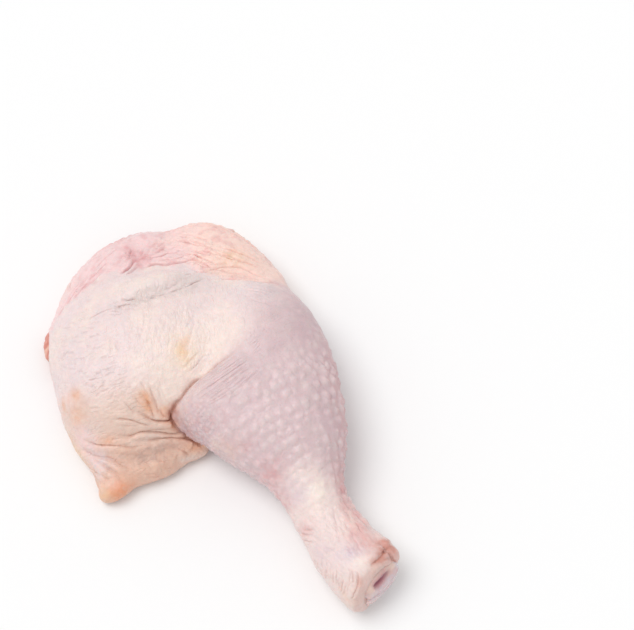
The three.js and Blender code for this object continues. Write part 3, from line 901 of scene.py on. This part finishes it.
def paintSkin(piece, field):
    mesh = piece.data
    points, normals = surface(mesh)
    tree = treeOf(mesh)
    x, y, z = points.T
    colour = np.tile(linear(palette["thigh"]), (len(points), 1))
    patchy, grain, speck = noiseAt(points, 14, 9), noiseAt(points, 4, 5), noiseAt(points, 1.8, 7, 2)
    drum, beyond, rows = field["drum"], field["beyond"], field["rows"]

    def wash(name, mask):
        colour[:] = washed(colour, palette[name], mask)

    thigh = 1 - drum
    wash("cream", 0.5 * smooth(-0.1, 0.5, patchy))
    wash("cool", 0.35 * smooth(-0.1, 0.5, -patchy))
    wash("peach", 0.9 * smooth(20, 0, y + 0.12 * x + 6 * patchy) * thigh)
    wash("flap", 0.9 * smooth(2, -10, y + 5 * patchy) * thigh)
    edge = [tuple(q) for q in lineOnSkin(tree, pinkEdge, 3)]
    inside = -sideOf(points, [(-90, edge[0][1] - 20)] + edge + [(90, edge[-1][1] - 20)])
    above = smooth(-1.6, 1.2, (inside + 2 * grain) / (1 + 7 * smooth(38, 58, x)))
    wash("pink", 0.9 * above)
    wash("salmon", 0.9 * above * smooth(-8, 26, x + 10 * patchy))
    wash("rose", 0.35 * above * smooth(0.1, 0.5, grain + 0.5 * patchy))
    wash("mauve", drum * smooth(-64, -40, y + 8 * patchy))
    # darker plum on the drumstick's side turned to +x, away from the sun: partly its own deeper mauve,
    # partly painted shade
    wash("plum", 0.65 * drum * smooth(-50, -30, y) * smooth(0.3, 0.85, normals[:, 0] + 0.3 * patchy))
    wash("plum", 0.7 * drum * smooth(20, 2, beyond) * smooth(8, -8, y))
    wash("plum", 0.35 * drum * smooth(0, 0.6, patchy) * smooth(-45, -30, y))
    wash("ash", 0.5 * drum * smooth(-0.1, 0.45, streaksAt(points, 35, 3, 9, 17)) * smooth(-55, -35, y))
    wash("shin", 0.8 * drum * smooth(-44, -60, y + 6 * grain))
    wash("ruddy", 0.55 * drum * smooth(0.6, 0.95, normals[:, 0]) * smooth(30, 0, y) * smooth(-62, -45, y))
    wash("ruddy", 0.45 * field["flank"] * smooth(0.05, 0.4, grain))
    for name, spot, size, share in patches:
        place = onSkin(tree, spot)
        if place:
            wash(name, share * blob(points, place, size) * (1 + 0.9 * grain + 0.5 * speck))
    # painted highlight on the tops of the goose bumps, then painted shade of plum between them
    wash("bumpHighlight", 0.22 * rows)
    wash("plum", 0.25 * drum * smooth(-50, -35, y) * (1 - np.clip(2.5 * rows, 0, 1)))
    wash("cream", 0.12 * field["follicles"])
    wash("dusk", 0.07 * smooth(0.15, 0.5, speck) * thigh)
    out = np.array(hockNormal())
    cutFace = smooth(0.5, 0.85, normals @ out) * smooth(-5, -2.5, (points - np.array(hock["centre"])) @ out)
    wash("cutFace", 0.7 * cutFace)
    # painted shade along each crease, in its tone
    for tone, shade in field["dark"].items():
        wash(tone, 0.8 * shade)
    paint(mesh, colour)
    # which way the finest wrinkles run: down the thigh, across it, along the drumstick, along the ankle
    left = smooth(-18, -40, x + 6 * patchy)
    down = thigh * (1 - left) * smooth(6, 20, y) * (1 - above)
    across = np.clip(thigh * left + above * thigh + 0.7 * thigh * smooth(20, 4, y), 0, 1)
    slant = drum * (0.35 + 0.65 * smooth(20, 6, beyond)) * smooth(-60, -45, y)
    ankle = smooth(-48, -62, y)
    uneven = 0.35 + 1.1 * smooth(-0.35, 0.5, noiseAt(points, 7, 15))
    crepe = np.column_stack([0.7 * down, across, slant, 0.7 * ankle]) * uneven[:, None]
    paint(mesh, crepe * (1 - 0.7 * cutFace[:, None]), "crepe")
    print("skin painted")


# fine wrinkles in the skin's material, by share of "crepe": heading in degrees, width and length
crepes = [
    {"share": 0, "heading": 80, "size": (1.1, 3.2)},
    {"share": 1, "heading": 4, "size": (1.1, 2.8)},
    {"share": 2, "heading": 29, "size": (0.9, 4)},
    {"share": 3, "heading": -60, "size": (1.2, 2.6)},
]


def maths(tree, operation, *values):
    return node(tree, "ShaderNodeMath", dict(enumerate(values)), operation=operation).outputs["Value"]


def wrinkled(tree, place, depth):  # thin lines where stretched noise crosses its middle value
    shares = node(tree, "ShaderNodeVertexColor", layer_name="crepe")
    parts = node(tree, "ShaderNodeSeparateColor", {"Color": shares.outputs["Color"]})
    weights = [parts.outputs["Red"], parts.outputs["Green"], parts.outputs["Blue"], shares.outputs["Alpha"]]
    total = None
    for crepe in crepes:
        across, length = crepe["size"]
        turned = node(tree, "ShaderNodeMapping", {
            "Vector": place, "Rotation": (0, 0, math.radians(crepe["heading"])),
            "Scale": (length * mm, across * mm, across * 2 * mm),
        }, vector_type="TEXTURE")
        field = node(tree, "ShaderNodeTexNoise", {
            "Vector": turned.outputs["Vector"], "Scale": 0.55, "Detail": 1, "Roughness": 0.4,
            "Distortion": 0.3,
        })
        gap = maths(tree, "ABSOLUTE", maths(tree, "SUBTRACT", field.outputs["Fac"], 0.5))
        line = node(tree, "ShaderNodeMapRange", {
            "Value": gap, "From Max": 0.15, "To Min": -1, "To Max": 0,
        }, interpolation_type="SMOOTHSTEP")
        part = maths(tree, "MULTIPLY", line.outputs["Result"], weights[crepe["share"]])
        total = part if total is None else maths(tree, "ADD", total, part)
    return maths(tree, "MULTIPLY", total, depth)


def fleshMaterial(name, mottle, contrast, depth, glow, roughness, pores, relief, crepe=0):
    material = bpy.data.materials.new(name)
    material.use_nodes = True
    tree = material.node_tree
    shader = tree.nodes["Principled BSDF"]
    place = node(tree, "ShaderNodeTexCoord").outputs["Object"]
    tint = node(tree, "ShaderNodeVertexColor", layer_name="tint").outputs["Color"]
    patchy = node(tree, "ShaderNodeTexNoise", {
        "Vector": place, "Scale": mottle, "Detail": 5, "Roughness": 0.65,
    })
    light = node(tree, "ShaderNodeMapRange", {
        "Value": patchy.outputs["Fac"], "From Min": 0.3, "From Max": 0.7,
        "To Min": 1 - contrast, "To Max": 1 + contrast * 0.6,
    })
    shade = {0: tint, "Scale": light.outputs["Result"]}
    base = node(tree, "ShaderNodeVectorMath", shade, operation="SCALE")
    tree.links.new(base.outputs["Vector"], shader.inputs["Base Color"])
    shader.inputs["Subsurface Weight"].default_value = depth
    shader.inputs["Subsurface Radius"].default_value = (1.0, 0.4, 0.3)
    shader.inputs["Subsurface Scale"].default_value = glow * mm
    shader.inputs["Specular IOR Level"].default_value = 0.5
    gloss = node(tree, "ShaderNodeMapRange", {
        "Value": patchy.outputs["Fac"], "To Min": roughness[0], "To Max": roughness[1],
    })
    tree.links.new(gloss.outputs["Result"], shader.inputs["Roughness"])
    pits = node(tree, "ShaderNodeTexNoise", {
        "Vector": place, "Scale": pores, "Detail": 3, "Roughness": 0.55,
    })
    height = maths(tree, "MULTIPLY", pits.outputs["Fac"], relief)
    if crepe:
        height = maths(tree, "ADD", height, wrinkled(tree, place, crepe))
    bump = node(tree, "ShaderNodeBump", {"Height": height, "Strength": 1, "Distance": mm})
    tree.links.new(bump.outputs["Normal"], shader.inputs["Normal"])
    return material


cartilage = {
    "voxel": 0.6,
    "smoothing": 4,
    "swell": 0.45,  # closes most of its seat's gap
    "dome": 2.3,  # how far its middle stands out of the cut
    "across": 15.5,
    "tall": 13,
    "waist": 3.6,  # widens it between the two knuckles
    "grooveWidth": 1.6,
    "groove": 1.5,
    "halo": 3.4,  # how wide the dark round the slit is
    "valleyWidth": 1.8,
    "valleyDepth": 0.5,
    "lumps": 0.3,
    "slit": [(373, 590), (376, 587), (380, 583), (384, 578), (388, 574), (392, 570)],
    "valley": [(368, 600), (378, 596), (388, 588), (396, 578)],
    "pearl": (224, 208, 213),
    "cream": (236, 208, 194),
    "blush": (214, 166, 162),
    "purple": (190, 132, 142),
    "core": (138, 58, 78),
}


def makeCartilage():
    piece = joined("hock_cartilage", [meshOf("shank_bone")])
    remesh(piece, cartilage["voxel"], cartilage["smoothing"])
    mesh = piece.data
    points, normals = surface(mesh)
    out = np.array(hockNormal())
    across = np.array(level(hock["yaw"]))
    up = np.cross(across, -out)
    away = points - np.array(hock["centre"])
    u, v, w = away @ across, away @ up, away @ out
    front = smooth(-2.5, 0.5, w) * smooth(-0.2, 0.3, normals @ out)
    # fills the valley between the two knuckles, so that they end in one shallow saddle
    waist = cartilage["waist"] * bell(v / 2.4) * front * smooth(0.3, 2.5, abs(u)) * np.sign(u)
    dome = cartilage["dome"] - (2 * u / cartilage["across"]) ** 2 - (v / cartilage["tall"] * 1.5) ** 2
    fill = np.maximum(dome - w, 0) * front * bell(v / 4.5)
    points += np.outer(waist, across) + np.outer(fill, out) + normals * cartilage["swell"]
    writePoints(mesh, points)
    tree = treeOf(mesh)
    normals = readPoints(mesh, "normal")
    slit, valley = np.zeros(len(points)), np.zeros(len(points))
    for name, wide, field in (("slit", "grooveWidth", slit), ("valley", "valleyWidth", valley)):
        ids, off, gap, share = nearLine(points, normals, lineOnSkin(tree, cartilage[name]), 6)
        field[ids] = bell(gap / cartilage[wide]) * smooth(0, 0.2, share) * smooth(1, 0.8, share)
        if name == "slit":
            halo = np.zeros(len(points))
            halo[ids] = bell(gap / cartilage["halo"]) * smooth(-0.1, 0.3, share) * smooth(1.1, 0.6, share)
            slit[ids] *= 0.65 + 0.35 * bell((share - 0.4) / 0.3)
    grain, blotch = noiseAt(points, 3, 4), noiseAt(points, 6, 14)
    lift = -cartilage["groove"] * slit - cartilage["valleyDepth"] * valley
    lift += cartilage["lumps"] * noiseAt(points, 5, 2) * front
    writePoints(mesh, points + normals * lift[:, None])
    paint(mesh, layered(cartilage, "pearl", [
        ("cream", smooth(3, 8, v + 2 * grain) + 0.4 * smooth(2, -9, u)),
        ("blush", 0.6 * smooth(-6, -10, u) + 0.4 * smooth(0.1, 0.5, blotch)),
        ("purple", 0.9 * halo),
        ("core", 0.9 * slit**1.5),
        ("purple", 0.3 * valley),
    ], len(points)))
    mesh.materials.append(fleshMaterial(
        "wet_cartilage", mottle=420, contrast=0.06, depth=0.3, glow=2.0, roughness=(0.15, 0.35), pores=500,
        relief=0.1,
    ))
    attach(piece, "root")
    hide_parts("shank_bone")
    print("cartilage:", len(mesh.polygons), "faces")


meat = {
    "voxel": 0.9,
    "smoothing": 3,
    "swell": 0.25,
    "fibre": (0.9, 11),  # width and length
    "heading": 12,
    "relief": 0.45,
    "flesh": (216, 142, 128),
    "deep": (194, 104, 90),
    "pale": (232, 180, 168),
    "fat": (240, 208, 184),
    "sunk": 1.1,  # drawn in where the hip side is
    "sunkAt": (-66, 28, 10),
    "sunkSize": (9, 20, 14),
}


def makeMeat():
    piece = joined("bare_meat", [meshOf("thigh_meat")])
    remesh(piece, meat["voxel"], meat["smoothing"])
    mesh = piece.data
    points, normals = surface(mesh)
    wide, long = meat["fibre"]
    fibres = streaksAt(points, meat["heading"], wide, long, 3, 3)
    bundles = streaksAt(points, meat["heading"], 5, 40, 6, 2)
    sides = 1 - smooth(-0.7, -0.98, normals[:, 2])  # its flat underside only gets a shallow grain
    lift = meat["swell"] * sides + meat["relief"] * (fibres * 0.6 + bundles) * (0.15 + 0.85 * sides)
    lift -= meat["sunk"] * blob(points, meat["sunkAt"], meat["sunkSize"])
    writePoints(mesh, points + normals * lift[:, None])
    marbling = streaksAt(points, meat["heading"] + 10, 4, 26, 12, 4)
    paint(mesh, layered(meat, "flesh", [
        ("deep", 0.8 * smooth(0, 0.6, -bundles) + 0.25 * smooth(0.1, 0.6, -fibres)),
        ("pale", 0.5 * smooth(0.05, 0.6, fibres)),
        ("fat", 0.6 * smooth(0.2, 0.8, marbling)),
    ], len(points)))
    mesh.materials.append(fleshMaterial(
        "raw_meat", mottle=500, contrast=0.1, depth=0.25, glow=2, roughness=(0.22, 0.4), pores=900,
        relief=0.25,
    ))
    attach(piece, "root")
    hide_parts("thigh_meat")
    print("meat:", len(mesh.polygons), "faces")


addCamera()
addLights()
addFloor()
skinPiece = makeSkin()
field = shapeSkin(skinPiece)
paintSkin(skinPiece, field)
thinTo(skinPiece, skin["triangles"])
skinPiece.data.materials.append(fleshMaterial(
    "raw_skin", mottle=300, contrast=0.05, depth=0.15, glow=1.5, roughness=(0.28, 0.46), pores=800,
    relief=0.3, crepe=0.12,
))
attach(skinPiece, "root")
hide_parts("leg")
makeCartilage()
makeMeat()
bpy.context.scene.view_settings.view_transform = "Standard"
